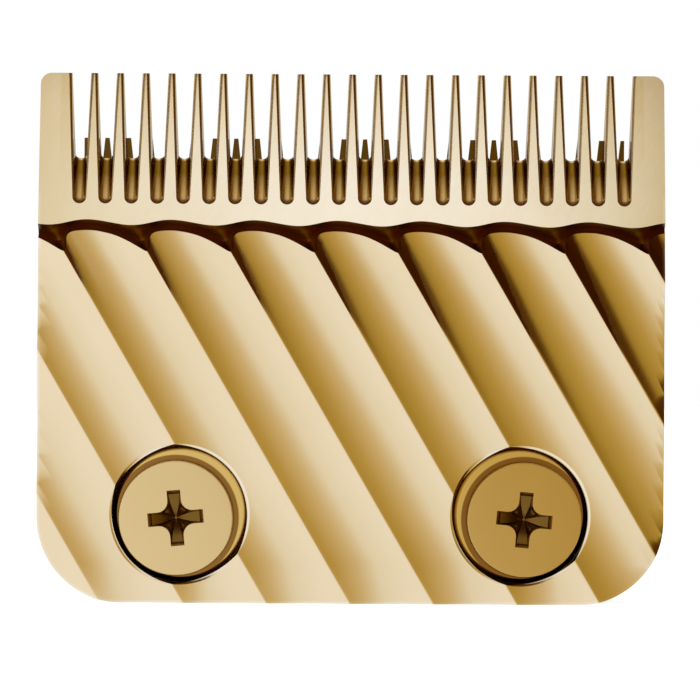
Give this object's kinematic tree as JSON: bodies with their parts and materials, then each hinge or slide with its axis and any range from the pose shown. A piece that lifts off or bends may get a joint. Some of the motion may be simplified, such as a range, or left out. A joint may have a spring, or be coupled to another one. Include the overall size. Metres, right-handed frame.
{
  "type": "clipper blade head",
  "caption": "Gold fluted fixed clipper blade with its sliding cutter, tension springs and taper slide, on a carrier frame.",
  "frame": {"origin": "middle of the bottom edge, halfway through the head's depth", "axes": "+X to the right seen from the skin side, +Y from the skin face to the drive side, +Z towards the tooth tips"},
  "size_m": [0.046, 0.012, 0.0389],
  "materials": {
    "titanium_gold": "steel with a polished gold titanium coating",
    "screw_gold": "steel with a gold coating, turned face",
    "cutter_steel": "ground steel with a gold coating",
    "insert_brass": "plain turned brass",
    "frame_black": "fine spark-eroded texture",
    "guide_plastic": "smooth low-friction plastic",
    "cast_slide": "satin die-cast metal",
    "cover_steel": "brushed stamped plate",
    "spring_steel": "bright drawn wire",
    "pin_steel": "bright turned steel"
  },
  "bodies": {
    "head": {"fixed_blade": "titanium_gold", "blade_screw_left": "screw_gold", "blade_screw_right": "screw_gold", "threaded_insert_left": "insert_brass", "threaded_insert_right": "insert_brass", "carrier_frame": "frame_black", "slide_rail_left": "pin_steel", "slide_rail_right": "pin_steel", "slide_friction_leaf": "spring_steel", "rear_cover": "cover_steel", "cover_screw_left": "pin_steel", "cover_screw_right": "pin_steel"},
    "slide": {"taper_slide": "cast_slide", "slide_drive_pin": "pin_steel", "spring_pin_left": "pin_steel", "spring_pin_right": "pin_steel", "tension_spring_left": "spring_steel", "tension_spring_right": "spring_steel"},
    "cutter": {"cutter_blade": "cutter_steel", "cutter_guide": "guide_plastic", "guide_screw_left": "pin_steel", "guide_screw_right": "pin_steel"}
  },
  "joints": [
    {"name": "taper_slide_travel", "type": "slide", "parent": "head", "child": "slide", "axis": [0, 0, 1], "range_m": [0, 0.004]},
    {"name": "cutter_stroke", "type": "slide", "parent": "slide", "child": "cutter", "axis": [1, 0, 0], "range_m": [-0.00156, 0.00124]}
  ]
}
